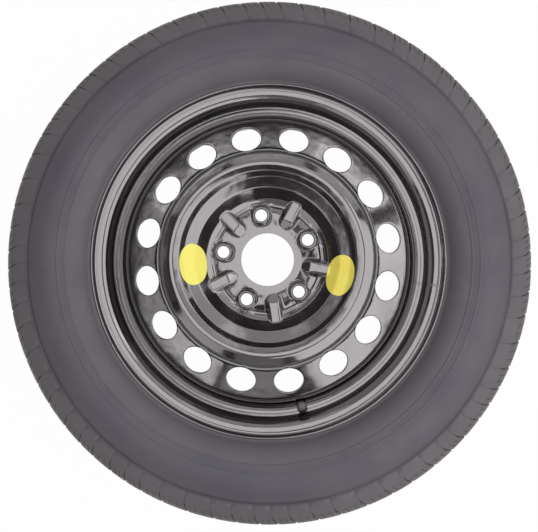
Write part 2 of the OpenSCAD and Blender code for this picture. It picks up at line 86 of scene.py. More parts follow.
def corner(a, b, c, radius, step):
    """Corner b of the outline a, b, c as an arc, with a point every step degrees."""
    u, v = unit(a - b), unit(c - b)
    half = math.acos(max(-1.0, min(1.0, float(u @ v)))) / 2
    sweep = math.pi - 2 * half
    middle = b + unit(u + v) * radius / math.sin(half)
    start = b + u * radius / math.tan(half) - middle
    before, after = b - a, c - b
    way = np.sign(before[0] * after[1] - before[1] * after[0])
    count = max(2, math.ceil(math.degrees(sweep) / step))
    return [middle + turned(start, way * sweep * i / count) for i in range(count + 1)]


def rounded(points, step=6.0):
    """Outline through points (x, y, radius), each rounded by its radius."""
    flat = [np.array(p[:2], float) for p in points]
    out = [flat[0]]
    for i in range(1, len(points) - 1):
        if points[i][2]:
            out += corner(flat[i - 1], flat[i], flat[i + 1], points[i][2], step)
        else:
            out.append(flat[i])
    return np.array(out + [flat[-1]])


def cubic(a, b, c, d, count):
    t = np.linspace(0, 1, count + 1)[:, None]
    s = 1 - t
    return s ** 3 * a + 3 * s ** 2 * t * b + 3 * s * t ** 2 * c + t ** 3 * d


def normals(path):
    """Unit normals of a path, to the left of the way it runs."""
    step = np.diff(path, axis=0)
    step /= np.linalg.norm(step, axis=1)[:, None]
    mean = np.vstack([step[:1], step[:-1] + step[1:], step[-1:]])
    mean /= np.linalg.norm(mean, axis=1)[:, None]
    return np.stack([-mean[:, 1], mean[:, 0]], 1)


def spaced(path, longest):
    """The same path with no step longer than the given length."""
    out = [path[:1]]
    for a, b in zip(path[:-1], path[1:]):
        count = max(1, math.ceil(np.linalg.norm(b - a) / longest))
        out.append(a + (b - a) * np.arange(1, count + 1)[:, None] / count)
    return np.vstack(out)


def clean(path, least=0.02):
    """The same path without points that fall on one another."""
    keep = [0] + [i for i in range(1, len(path)) if np.linalg.norm(path[i] - path[i - 1]) > least]
    return path[keep]


def soft_min(a, b, blend):
    return (a + b - np.sqrt((a - b) ** 2 + blend ** 2)) / 2


def soft_max(a, b, blend):
    return (a + b + np.sqrt((a - b) ** 2 + blend ** 2)) / 2


def smooth_step(low, high, x):
    t = np.clip((x - low) / (high - low), 0, 1)
    return t * t * (3 - 2 * t)


# Meshes

class Skin:
    """The points and faces of one mesh, collected part by part."""

    def __init__(self):
        self.points = []
        self.faces = []
        self.count = 0

    def add(self, points):
        """Adds points (..., 3) and returns their indices."""
        points = np.asarray(points, float)
        flat = points.reshape(-1, 3)
        self.points.append(flat)
        index = np.arange(self.count, self.count + len(flat)).reshape(points.shape[:-1])
        self.count += len(flat)
        return index

    def band(self, low, high, flip=False):
        """Quads between two closed rows of indices of the same length."""
        low, high = np.append(low, low[0]), np.append(high, high[0])
        quads = np.stack([low[:-1], low[1:], high[1:], high[:-1]], 1)
        self.faces += (quads[:, ::-1] if flip else quads).tolist()

    def rows(self, index, flip=False):
        for low, high in zip(index[:-1], index[1:]):
            self.band(low, high, flip)

    def coarser(self, fine, coarse, flip=False):
        """Faces between a closed row and one with a whole fraction of its points."""
        ratio = len(fine) // len(coarse)
        for i in range(len(coarse)):
            ahead = (i + 1) % len(coarse)
            upper = [fine[(i * ratio + k) % len(fine)] for k in range(ratio + 1)]
            face = [coarse[i], coarse[ahead]] + upper[::-1]
            self.faces.append([int(k) for k in (face[::-1] if flip else face)])

    def build(self, name, slot, node, crease=35.0):
        """Makes the mesh, which rides on the wheel and takes the place of a node of the frame."""
        mesh = bpy.data.meshes.new(name)
        points = np.vstack(self.points) * MM
        mesh.from_pydata(points.tolist(), [], self.faces)
        mesh.validate()
        mesh.shade_smooth()
        mesh.set_sharp_from_angle(angle=math.radians(crease))
        mesh.materials.append(LOOKS[slot])
        piece = bpy.data.objects.new(name, mesh)
        bpy.context.scene.collection.objects.link(piece)
        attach(piece, "wheel")
        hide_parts(node)


def around(path, angles):
    """Points (rows, columns, 3) of a path of (radius, height), turned to each angle in radians."""
    r, z = path[:, 0][:, None], path[:, 1][:, None]
    return np.stack([r * np.cos(angles), r * np.sin(angles), z + 0 * angles], -1)


# Materials

class Look:
    """A procedural material, with short ways to add its nodes."""

    def __init__(self, name, roughness=0.5, metallic=0.0, ior=1.5):
        self.material = bpy.data.materials.new(name)
        self.material.use_nodes = True
        self.tree = self.material.node_tree
        self.shader = self.tree.nodes["Principled BSDF"]
        self.shader.inputs["Roughness"].default_value = roughness
        self.shader.inputs["Metallic"].default_value = metallic
        self.shader.inputs["IOR"].default_value = ior
        self.place = self.node("ShaderNodeTexCoord").outputs["Object"]

    def node(self, kind, **values):
        made = self.tree.nodes.new(kind)
        for key, value in values.items():
            setattr(made, key, value)
        return made

    def link(self, source, target):
        self.tree.links.new(source, target)

    def noise(self, scale, detail=3.0, roughness=0.55, stretch=(1, 1, 1), at=(0, 0, 0)):
        """Noise from 0 to 1. scale is in waves a metre."""
        mapping = self.node("ShaderNodeMapping")
        mapping.inputs["Scale"].default_value = stretch
        mapping.inputs["Location"].default_value = at
        self.link(self.place, mapping.inputs["Vector"])
        made = self.node("ShaderNodeTexNoise")
        made.inputs["Scale"].default_value = scale
        made.inputs["Detail"].default_value = detail
        made.inputs["Roughness"].default_value = roughness
        self.link(mapping.outputs["Vector"], made.inputs["Vector"])
        return made.outputs["Fac"]

    def calc(self, operation, a, b=0.0):
        """A sum on two values, each a number or a socket."""
        made = self.node("ShaderNodeMath", operation=operation)
        for value, socket in zip((a, b), made.inputs):
            if isinstance(value, (int, float)):
                socket.default_value = value
            else:
                self.link(value, socket)
        return made.outputs[0]

    def radius(self):
        """Distance from the spin axis, in metres."""
        parts = self.node("ShaderNodeSeparateXYZ")
        self.link(self.place, parts.inputs[0])
        flat = self.node("ShaderNodeCombineXYZ")
        self.link(parts.outputs["X"], flat.inputs["X"])
        self.link(parts.outputs["Y"], flat.inputs["Y"])
        length = self.node("ShaderNodeVectorMath", operation="LENGTH")
        self.link(flat.outputs[0], length.inputs[0])
        return length.outputs["Value"]

    def beside(self, angle):
        """Distance in metres from the radius at an angle in degrees, and 1 more beyond the axis."""
        parts = self.node("ShaderNodeSeparateXYZ")
        self.link(self.place, parts.inputs[0])
        x, y = parts.outputs["X"], parts.outputs["Y"]
        c, s = math.cos(math.radians(angle)), math.sin(math.radians(angle))
        side = self.calc("SUBTRACT", self.calc("MULTIPLY", y, c), self.calc("MULTIPLY", x, s))
        ahead = self.calc("ADD", self.calc("MULTIPLY", x, c), self.calc("MULTIPLY", y, s))
        return self.calc("ADD", self.calc("ABSOLUTE", side), self.calc("LESS_THAN", ahead, 0.0))

    def steps(self, factor, stops):
        """Colours or grey values along a factor. stops are (position, value)."""
        ramp = self.node("ShaderNodeValToRGB")
        ramp.color_ramp.interpolation = "EASE"
        elements = ramp.color_ramp.elements
        while len(elements) < len(stops):
            elements.new(0.5)
        for element, (position, value) in zip(elements, stops):
            element.position = position
            colour = (value,) * 3 if isinstance(value, (int, float)) else value
            element.color = (*colour, 1.0)
        self.link(factor, ramp.inputs["Fac"])
        return ramp.outputs["Color"]

    def mix(self, factor, a, b):
        """A colour between a and b. Sockets 6 and 7 of the node are its two colours, 2 is the result."""
        made = self.node("ShaderNodeMix", data_type="RGBA")
        for value, socket in ((factor, made.inputs["Factor"]), (a, made.inputs[6]), (b, made.inputs[7])):
            if isinstance(value, (int, float)):
                socket.default_value = value
            elif isinstance(value, tuple):
                socket.default_value = (*value, 1.0)
            else:
                self.link(value, socket)
        return made.outputs[2]

    def colour(self, value):
        self.link(value, self.shader.inputs["Base Color"])

    def rough(self, value):
        self.link(value, self.shader.inputs["Roughness"])

    def bump(self, height, depth_mm):
        """Adds relief: a height from 0 to 1 is worth depth_mm."""
        made = self.node("ShaderNodeBump")
        made.inputs["Strength"].default_value = 1.0
        made.inputs["Distance"].default_value = depth_mm * MM
        self.link(height, made.inputs["Height"])
        earlier = self.shader.inputs["Normal"].links
        if earlier:
            self.link(earlier[0].from_socket, made.inputs["Normal"])
        self.link(made.outputs["Normal"], self.shader.inputs["Normal"])

    def ripples(self, waves_a_metre, depth_mm):
        """Adds fine rings round the spin axis."""
        self.bump(self.calc("SINE", self.calc("MULTIPLY", self.radius(), waves_a_metre)), depth_mm)


PAINT_IOR = 2.7
PAINT_COAT = 0.8
COAT_ROUGHNESS = 0.06
SCUFF_COLOUR = (0.30, 0.28, 0.27)
ROLLING_LINES = ((4200.0, 0.012), (1450.0, 0.04))      # waves a metre, depth in mm
SEAM_DEPTH = 0.4


def scuffs(look):
    """Where the paint of the rim's lip is rubbed light: streaks on the lip, near one angle."""
    streaks = look.steps(look.noise(260, 3, stretch=(1, 0.12, 1)), [(0.60, 0.0), (0.66, 1.0)])
    lip = look.steps(look.calc("MULTIPLY", look.radius(), 4.0), [(0.862, 0.0), (0.870, 1.0)])
    beside = look.calc("MULTIPLY", look.beside(SCUFF_ANGLE), 10.0)
    near = look.steps(beside, [(0.30, 1.0), (0.50, 0.0)])
    return look.calc("MULTIPLY", look.calc("MULTIPLY", streaks, lip), near)


def black_paint(name, dark, light, roughness, rolled=False):
    """Gloss black paint over steel sheet, with haze, dust and a slightly uneven surface.
    A rolled sheet also has fine rings, a weld seam across it and scuffs on its lip."""
    look = Look(name, roughness=roughness, ior=PAINT_IOR)
    cloud = look.noise(16, 4)
    paint = look.mix(look.steps(cloud, [(0.35, 0.0), (0.7, 1.0)]), dark, light)
    if rolled:
        paint = look.mix(scuffs(look), paint, SCUFF_COLOUR)
    look.colour(paint)
    haze = look.noise(45, 5, 0.65, at=(3, 1, 2))
    shares = ((0.3, 0.8), (0.62, 1.15), (0.78, 1.9))
    look.rough(look.steps(haze, [(position, roughness * share) for position, share in shares]))
    look.bump(look.noise(30, 2, at=(5, 0, 1)), 0.5)
    look.bump(look.noise(900, 2), 0.012)
    if rolled:
        for waves_a_metre, depth in ROLLING_LINES:
            look.ripples(waves_a_metre, depth)
        beside = look.calc("MULTIPLY", look.beside(SEAM_ANGLE), 300.0)
        look.bump(look.steps(beside, [(0.1, 1.0), (0.5, 0.0)]), SEAM_DEPTH)
    look.shader.inputs["Coat Weight"].default_value = PAINT_COAT
    look.shader.inputs["Coat Roughness"].default_value = COAT_ROUGHNESS
    return look.material


# Colours of the tyre from the rim out to the crown, with light and shade painted in: a band by the rim
# painted lighter and the wall beyond it painted darker for the way the wall tilts to the light, and painted
# shade in the moulded line. The place of each is its radius in metres, times 3.
TYRE_TONES_AND_PAINTED_SHADE = [
    # Painted light and shade: the band by the rim up to 0.735 is lighter, and the wall from 0.760 on is
    # darker, for the way its tilt meets the light
    (0.660, (0.094, 0.090, 0.102)),
    (0.735, (0.100, 0.097, 0.112)),
    (0.760, (0.076, 0.076, 0.093)),
    (0.800, (0.082, 0.081, 0.099)),
    (0.884, (0.090, 0.088, 0.106)),
    # Painted shade: the dark tone that fills the moulded line between the sidewall and the tread
    (0.8955, (0.056, 0.056, 0.068)),
    (0.904, (0.056, 0.056, 0.068)),
    (0.914, (0.104, 0.099, 0.104)),
    (1.0, (0.116, 0.109, 0.112))]
TYRE_DUST = (0.135, 0.130, 0.140)
TYRE_DUST_SHARE = 0.35


def tyre_rubber():
    """Moulded rubber: blue-grey sidewall with a band by the rim painted lighter and the wall beyond it
    painted darker as light and shade of its tilt, painted shade in the moulded line, and a browner tread.
    """
    look = Look("tyre_rubber", roughness=0.55, ior=1.6)
    # The radial tones carry painted light by the rim, painted shade beyond it, and painted shade in the
    # moulded line
    tone_and_painted_shade = look.steps(look.calc("MULTIPLY", look.radius(), 3.0), TYRE_TONES_AND_PAINTED_SHADE)
    smear = look.steps(look.noise(9, 5, 0.6), [(0.3, 0.0), (0.72, 1.0)])
    look.colour(look.mix(look.calc("MULTIPLY", smear, TYRE_DUST_SHARE), tone_and_painted_shade, TYRE_DUST))
    look.rough(look.steps(look.noise(22, 4, at=(1, 4, 2)), [(0.3, 0.46), (0.75, 0.66)]))
    look.bump(look.noise(1400, 3), 0.05)
    look.bump(look.noise(120, 3, at=(2, 2, 2)), 0.25)
    look.ripples(2600.0, 0.02)
    return look.material


def plain_rubber(name, colour, roughness):
    look = Look(name, roughness=roughness)
    lighter = tuple(min(1.0, c * 1.9 + 0.01) for c in colour)
    look.colour(look.mix(look.steps(look.noise(160, 4), [(0.4, 0.0), (0.8, 0.6)]), colour, lighter))
    look.rough(look.steps(look.noise(90, 3), [(0.3, roughness * 0.85), (0.7, roughness * 1.15)]))
    look.bump(look.noise(2600, 2), 0.02)
    return look.material


def bare_metal(name, colour, roughness):
    look = Look(name, roughness=roughness, metallic=1.0)
    worn = tuple(c * 0.62 for c in colour)
    look.colour(look.mix(look.steps(look.noise(300, 4), [(0.35, 0.0), (0.8, 1.0)]), colour, worn))
    look.rough(look.steps(look.noise(500, 3), [(0.3, roughness * 0.8), (0.7, roughness * 1.3)]))
    look.bump(look.noise(3000, 2), 0.01)
    return look.material


def yellow_film():
    """Bright yellow film, a little darker in patches."""
    look = Look("sticker_yellow", roughness=0.34)
    patch = look.steps(look.noise(26, 3, at=(1, 1, 0)), [(0.42, 0.0), (0.75, 1.0)])
    look.colour(look.mix(patch, (1.0, 0.95, 0.18), (1.0, 0.87, 0.13)))
    look.rough(look.steps(look.noise(60, 4), [(0.3, 0.26), (0.7, 0.44)]))
    look.bump(look.noise(70, 3), 0.12)
    return look.material


def plain_plastic(name, colour, roughness):
    look = Look(name, roughness=roughness)
    lighter = tuple(min(1.0, c * 1.5 + 0.01) for c in colour)
    look.colour(look.mix(look.steps(look.noise(240, 4), [(0.35, 0.0), (0.75, 1.0)]), colour, lighter))
    look.rough(look.steps(look.noise(200, 3), [(0.3, roughness * 0.85), (0.7, roughness * 1.2)]))
    look.bump(look.noise(1800, 2), 0.02)
    return look.material


LOOKS = {
    "tyre_rubber": tyre_rubber(),
    "rim_paint": black_paint(
        "rim_paint", (0.007, 0.0055, 0.0055), (0.015, 0.012, 0.012), 0.13, rolled=True),
    "disc_paint": black_paint("disc_paint", (0.008, 0.006, 0.006), (0.018, 0.0135, 0.0135), 0.13),
    "weld_paint": black_paint("weld_paint", (0.012, 0.010, 0.010), (0.025, 0.022, 0.020), 0.3),
    "valve_rubber": plain_rubber("valve_rubber", (0.022, 0.022, 0.023), 0.45),
    "valve_brass": bare_metal("valve_brass", (0.72, 0.55, 0.26), 0.3),
    "core_brass": bare_metal("core_brass", (0.78, 0.62, 0.32), 0.25),
    "gasket_plastic": plain_plastic("gasket_plastic", (0.80, 0.80, 0.78), 0.4),
    "seal_rubber": plain_rubber("seal_rubber", (0.03, 0.03, 0.03), 0.5),
    "spring_steel": bare_metal("spring_steel", (0.62, 0.62, 0.62), 0.25),
    "cap_plastic": plain_plastic("cap_plastic", (0.105, 0.098, 0.100), 0.30),
    "sticker_yellow": yellow_film(),
}

for part in frame["record"]["subparts"]:
    mesh = frame["nodes"][part["node"]].data
    mesh.materials.clear()
    mesh.materials.append(LOOKS[part["material_slot"]])


# The disc: one pressed sheet of steel

DISC_T = 4.5
BORE_R = 31.7
PCD = 108.0
HOLE_R = 7.1
VENT_R = 146.8          # from the axis to a vent's middle
VENT_HOLE = 17.7        # radius of a vent
VENT_LIP = 0.9
CONE_TILT = math.radians(28)
NOSE_FOOT = (130.6, 18.7)
SHOULDER_R = 172.5
SHOULDER_Z = NOSE_FOOT[1] - (SHOULDER_R - NOSE_FOOT[0]) * math.tan(CONE_TILT)
SKIRT_R = 182.85
SKIRT_TOP = -52.3
SKIRT_END = -74.3

# The press draws the sheet thinner by this much between these radii
THINNER = 1.4
THINNER_FROM = 90
THINNER_TO = 128

# The front's outline from the bore to the skirt's end: radius, height and rounding of each corner
DISC_PATH = clean(rounded([
    (BORE_R, DISC_T, 0),
    (67.6, DISC_T, 3),                  # foot of the bowl's wall
    (72.8, DISC_T + 2.8, 3.5),
    (85.4, DISC_T + 14.5, 5),           # top of the wall
    (97.8, DISC_T + 18.8, 3),           # outer edge of the terrace
    (104.0, DISC_T + 24.4, 5),          # top of the rise to the nose
    (113, DISC_T + 27.45, 9),           # nose, the highest ring
    (124.6, DISC_T + 21.9, 6),
    (*NOSE_FOOT, 4),
    (SHOULDER_R, SHOULDER_Z, 14),
    (SKIRT_R, SKIRT_TOP, 20),
    (SKIRT_R, SKIRT_END, 0)], step=4))

# The grid of the disc: its columns, and its rows by radius
DISC_COLUMNS = 400
BORE_ROWS = (BORE_R + 0.6, BORE_R + 1.2)
HUB_ROWS = (33.6, 79.3, 0.96)           # first, end, step
WALL_ROWS = (80.0, 129.6, 1.8)          # first, end, longest step
CONE_ROWS = (130.4, 163.4, 17)          # first, last, count
SKIRT_ROWS = (164.6, 3.0)               # first, longest step
BOLT_ROWS = (40.3, 67.7)                # the patch round a bolt hole lies between these
BORE_BACK_R = BORE_R + 0.5
HUB_BACK_R = 76                         # the back has its hollows within this
BOLT_HALF = 16                          # columns to each side of a bolt hole in its patch
VENT_HALF = 11

# Relief of the hub's face. It has a low lip at the bore, and falls away in a shallow pan.
BORE_LIP_H = 0.25
BORE_LIP_OUT = (38.6, 40.4)
PAN_START = 40.5
PAN_TURN = 54.0
PAN_END = 62.6
PAN_OUT = 1.6
PAN_TILT = 0.10
PAN_BEND = 0.02

# A pressed line at the foot of the wall
FOOT_LINE_H = 0.55
FOOT_LINE_IN = (66.6, 67.5)
FOOT_LINE_OUT = (67.7, 68.8)

# A pocket round each bolt hole, and in it a raised ring with the nut's seat
POCKET_H = 2.0
POCKET_R = 12.3
POCKET_SIDE = 2.0
POCKET_END = POCKET_R + POCKET_SIDE
POCKET_SIDE_SLOPE = 0.85
POCKET_OUT_SLOPE = 0.2
POCKET_REACH = 24
POCKET_LAST_R = 66.0                    # beyond it the pocket fades before the wall
POCKET_FADE = 3.0
POCKET_BLEND = 0.2
RING_TOP = DISC_T + 0.5
RING_R = 9.5
RING_SLOPE = 0.85
RING_REACH = 14
RING_BLEND = 0.15
SEAT_TOP_R = 8.3

# A rib between two bolts: a ramp from the hub's face out to the wall
RIB_H = 5.5
RIB_START = 41.0
RIB_RAMP = 11.5
RIB_HALF = 9.5
RIB_FLANK = 3.75
RIB_ROUND_R = 51.0
RIB_CROWN = 0.006
RIB_FIRST = 30
RIB_REACH = 16
RIB_LAST_R = 79
RIB_EDGE_BLEND = 0.8
RIB_CROWN_BLEND = 1.0
RIB_FOOT_BLEND = 0.7

# The hollow behind a rib
HOLLOW_START = 45.0
HOLLOW_HALF = 7.5
HOLLOW_FLANK_SLOPE = 1.6
HOLLOW_END = 70.5
HOLLOW_END_SLOPE = 3.0
HOLLOW_H = 5.3
HOLLOW_BLEND = 0.6
HOLLOW_FOOT_BLEND = 0.4
HOLLOW_FROM = 40
HOLLOW_TO = 72
HOLLOW_REACH = 12

# Small waves of the pressed sheet, strongest in the hub area
WAVE = 9.0
WAVE_H = 0.22
WAVE_LESS = 0.16
WAVE_SEED = 3.0
WAVE_LESS_AT = (62, 68)
WAVE_IN = (32.5, 38)
WAVE_OUT = (118, 127)


def disc_rows():
    """Rows (radius, height) of the disc's front, and the first and last row of each kind of patch."""
    dense = spaced(DISC_PATH, 1.0)
    dense = dense[dense[:, 0] < SHOULDER_R]
    wall_start, wall_end, wall_step = WALL_ROWS
    on_wall = (DISC_PATH[:, 0] > wall_start) & (DISC_PATH[:, 0] < wall_end)
    wall = spaced(DISC_PATH[on_wall], wall_step)[:, 0]
    cone = np.linspace(*CONE_ROWS)
    radii = np.concatenate([BORE_ROWS, np.arange(*HUB_ROWS), wall, cone])
    front = np.stack([radii, np.interp(radii, dense[:, 0], dense[:, 1])], 1)
    skirt_start, skirt_step = SKIRT_ROWS
    tail = spaced(DISC_PATH[DISC_PATH[:, 0] > skirt_start], skirt_step)
    bolt_patch = [int(np.argmin(abs(radii - r))) for r in BOLT_ROWS]
    vent_patch = [len(front) - len(cone), len(front) - 1]
    return np.vstack([front, tail]), bolt_patch, vent_patch


def sheet_t(r):
    """Thickness of the sheet."""
    return DISC_T - THINNER * smooth_step(THINNER_FROM, THINNER_TO, r)


def local_to(x, y, angle, radius):
    """Coordinates from a point at an angle and a radius, with +X outwards."""
    c, s = math.cos(angle), math.sin(angle)
    return x * c + y * s - radius, -x * s + y * c


def hub_face(r, z):
    """Height of the front with the bore's lip, the pan and the line at the wall's foot."""
    z = z - BORE_LIP_H * (1 - smooth_step(*BORE_LIP_OUT, r))
    dish = PAN_TILT * np.clip(r - PAN_START, 0, PAN_END - PAN_START)
    dish = dish + 0.5 * PAN_BEND * np.clip(r - PAN_TURN, 0, PAN_END - PAN_TURN) ** 2
    z = z - dish * (1 - smooth_step(PAN_END, PAN_END + PAN_OUT, r))
    return z - FOOT_LINE_H * smooth_step(*FOOT_LINE_IN, r) * (1 - smooth_step(*FOOT_LINE_OUT, r))


def with_pocket(x, y, z, angle):
    """Height of the front with the pocket and the ring round the bolt hole at an angle."""
    d = np.hypot(*local_to(x, y, angle, PCD / 2))
    near = d < POCKET_REACH
    pocket = DISC_T - POCKET_H + np.clip(d - POCKET_R, 0, POCKET_SIDE) * POCKET_SIDE_SLOPE
    pocket = pocket + np.maximum(d - POCKET_END, 0) * POCKET_OUT_SLOPE
    pocket = pocket + np.maximum(np.hypot(x, y) - POCKET_LAST_R, 0) * POCKET_FADE
    z = np.where(near, soft_min(z, pocket, POCKET_BLEND), z)
    ring = RING_TOP - np.maximum(d - RING_R, 0) * RING_SLOPE
    return np.where(near & (d < RING_REACH), soft_max(z, ring, RING_BLEND), z)


def with_rib(x, y, z, angle):
    """Height of the front with the rib at an angle."""
    a, b = local_to(x, y, angle, 0)
    slope = DISC_T + (a - RIB_START) * RIB_H / RIB_RAMP
    flank = DISC_T + (RIB_HALF - np.hypot(b, np.minimum(a - RIB_ROUND_R, 0))) * RIB_H / RIB_FLANK
    crown = DISC_T + RIB_H - RIB_CROWN * b * b
    top = soft_min(soft_min(slope, flank, RIB_EDGE_BLEND), crown, RIB_CROWN_BLEND)
    inside = (a > RIB_FIRST) & (abs(b) < RIB_REACH) & (np.hypot(x, y) < RIB_LAST_R)
    return np.where(inside, soft_max(z, top, RIB_FOOT_BLEND), z)


def front_relief(x, y, z):
    """Height of the hub area's front: pockets and rings round the bolt holes, and ribs between them."""
    z = hub_face(np.hypot(x, y), z)
    for k in range(BOLTS):
        angle = math.radians(BOLT_ANGLE + BOLT_STEP * k)
        z = with_pocket(x, y, z, angle)
        z = with_rib(x, y, z, angle + math.radians(BOLT_STEP / 2))
    return z


def back_relief(x, y, z):
    """Height of the hub area's back, with the hollows that the ribs leave."""
    for k in range(BOLTS):
        angle = math.radians(BOLT_ANGLE + BOLT_STEP / 2 + BOLT_STEP * k)
        a, b = local_to(x, y, angle, 0)
        slope = (a - HOLLOW_START) * RIB_H / RIB_RAMP
        flank = (HOLLOW_HALF - abs(b)) * HOLLOW_FLANK_SLOPE
        end = (HOLLOW_END - a) * HOLLOW_END_SLOPE
        ramp = soft_min(slope, flank, HOLLOW_BLEND)
        top = soft_min(ramp, soft_min(end, HOLLOW_H + 0 * a, HOLLOW_BLEND), HOLLOW_BLEND)
        inside = (a > HOLLOW_FROM) & (a < HOLLOW_TO) & (abs(b) < HOLLOW_REACH)
        z = np.where(inside, soft_max(z, top, HOLLOW_FOOT_BLEND), z)
    return z


def unevenness(points):
    """Adds the small waves to the front."""
    r = np.hypot(points[..., 0], points[..., 1])
    for i, j in np.argwhere(r < WAVE_OUT[1]):
        x, y, _ = points[i, j]
        amount = WAVE_H - WAVE_LESS * float(smooth_step(*WAVE_LESS_AT, r[i, j]))
        edge = float(smooth_step(*WAVE_IN, r[i, j])) * float(1 - smooth_step(*WAVE_OUT, r[i, j]))
        points[i, j, 2] += amount * edge * noise.noise(Vector((x / WAVE, y / WAVE, WAVE_SEED)))
    return points


def disc_sides(rows, angles):
    """Points of the disc's front and back, both on the same grid."""
    front = around(rows, angles)
    front[..., 2] = front_relief(front[..., 0], front[..., 1], front[..., 2])
    inner = rows - normals(rows) * sheet_t(rows[:, 0])[:, None]
    inner[0] = (BORE_BACK_R, 0)
    back = around(inner, angles)
    hub = rows[:, 0] < HUB_BACK_R
    back[hub, :, 2] = back_relief(back[hub, :, 0], back[hub, :, 1], back[hub, :, 2])
    return unevenness(front), back


def disc_holes(bolt_patch, vent_patch):
    """Patches of the grid with a hole: rows, columns, angle in degrees and the function for their rings."""
    first = round((BOLT_ANGLE - VENT_ANGLE) / 360 * DISC_COLUMNS)
    holes = []
    for patch, half, start, count, angle, rings in (
            (bolt_patch, BOLT_HALF, first, BOLTS, BOLT_ANGLE, bolt_rings),
            (vent_patch, VENT_HALF, 0, VENTS, VENT_ANGLE, vent_rings)):
        for k in range(count):
            middle = start + k * DISC_COLUMNS // count
            holes.append((patch, (middle - half, middle + half), angle + 360 / count * k, rings))
    return holes


def patch_edge(rows_at, columns_at):
    """Places in the grid along the edge of a rectangle of it."""
    (i0, i1), (j0, j1) = rows_at, columns_at
    columns = [j % DISC_COLUMNS for j in range(j0, j1 + 1)]
    edge = [(i0, j) for j in columns]
    edge += [(i, columns[-1]) for i in range(i0 + 1, i1 + 1)]
    edge += [(i1, j) for j in columns[-2::-1]]
    edge += [(i, columns[0]) for i in range(i1 - 1, i0, -1)]
    return tuple(np.array(edge).T)


# The bore's edge from the front to the back: radius past BORE_R, and height
BORE_EDGE = [(0.25, DISC_T - 0.30), (0.05, DISC_T - 0.65), (0.0, DISC_T - 1.1), (0.0, 0.7), (0.15, 0.2)]


def wheel_disc():
    rows, bolt_patch, vent_patch = disc_rows()
    angles = np.radians(VENT_ANGLE + np.arange(DISC_COLUMNS) * 360 / DISC_COLUMNS)
    front, back = disc_sides(rows, angles)
    skin = Skin()
    front_index, back_index = skin.add(front), skin.add(back)

    holes = disc_holes(bolt_patch, vent_patch)
    open_cells = np.zeros((len(rows), DISC_COLUMNS), bool)
    for (i0, i1), (j0, j1), _, _ in holes:
        for j in range(j0, j1):
            open_cells[i0:i1, j % DISC_COLUMNS] = True
    ahead = (np.arange(DISC_COLUMNS) + 1) % DISC_COLUMNS
    for index, flip in ((front_index, True), (back_index, False)):
        quads = np.stack([index[:-1], index[:-1][:, ahead], index[1:][:, ahead], index[1:]], -1)
        quads = quads[~open_cells[:-1]]
        skin.faces += (quads[:, ::-1] if flip else quads).tolist()

    for rows_at, columns_at, angle, rings in holes:
        edge = patch_edge(rows_at, columns_at)
        last = front_index[edge]
        for ring in rings(math.radians(angle), front[edge], rows):
            here = skin.add(ring)
            skin.band(last, here, flip=True)
            last = here
        skin.band(last, back_index[edge], flip=True)

    bore = skin.add(around(np.array([(BORE_R + past, z) for past, z in BORE_EDGE]), angles))
    skin.band(front_index[0], bore[0])
    skin.rows(bore)
    skin.band(bore[-1], back_index[0])
    skin.band(front_index[-1], back_index[-1], flip=True)
    skin.build("wheel_disc_sheet", "disc_paint", "wheel_disc")


# Rings on the front round a bolt hole: radius, and share of the way from there to the patch's edge
BOLT_CIRCLES = [(15.3, 0.6), (15.3, 0.25)]
BOLT_CIRCLES += [(r, 0.0) for r in (15.3, 14.3, 13.7, 12.9, 12.4, 12.0, 11.2, 10.3, 9.7, 9.45, 9.2)]

# The nut's seat and the hole below it: radius past SEAT_TOP_R, and depth below the ring's top
BOLT_SEAT = [(0.65, 0.0), (0.35, 0.03), (0.1, 0.16), (-0.1, 0.42), (-0.6, 1.25), (-1.05, 2.05),
             (-1.18, 2.4), (-1.2, 3.2), (-1.2, 4.6), (-1.0, 4.94)]
HOLE_BACK_R = HOLE_R + 0.4


def bolt_rings(angle, edge, rows):
    """Rings from a bolt patch's edge over the seat and through the hole to the back."""
    a, b = local_to(edge[:, 0], edge[:, 1], angle, PCD / 2)
    reach = np.hypot(a, b)
    c, s = math.cos(angle), math.sin(angle)
    centre = np.array([c, s]) * PCD / 2

    def ring(radius, z, share=0.0):
        """A circle, or with a share the same share of the way to the patch's edge."""
        scale = (radius * (1 - share) + reach * share) / reach
        x, y = centre[0] + (a * c - b * s) * scale, centre[1] + (a * s + b * c) * scale
        return np.stack([x, y, z + 0 * x], -1)

    out = []
    for radius, share in BOLT_CIRCLES:
        flat = ring(radius, 0.0, share)
        base = np.interp(np.hypot(flat[:, 0], flat[:, 1]), rows[:, 0], rows[:, 1])
        flat[:, 2] = front_relief(flat[:, 0], flat[:, 1], base)
        out.append(flat)
    out += [ring(SEAT_TOP_R + past, RING_TOP - down) for past, down in BOLT_SEAT]
    out += [ring(HOLE_BACK_R, 0.0, share) for share in (0.0, 0.35)]
    flat = ring(HOLE_BACK_R, 0.0, 0.7)
    flat[:, 2] = back_relief(flat[:, 0], flat[:, 1], 0 * flat[:, 0])
    return out + [flat]


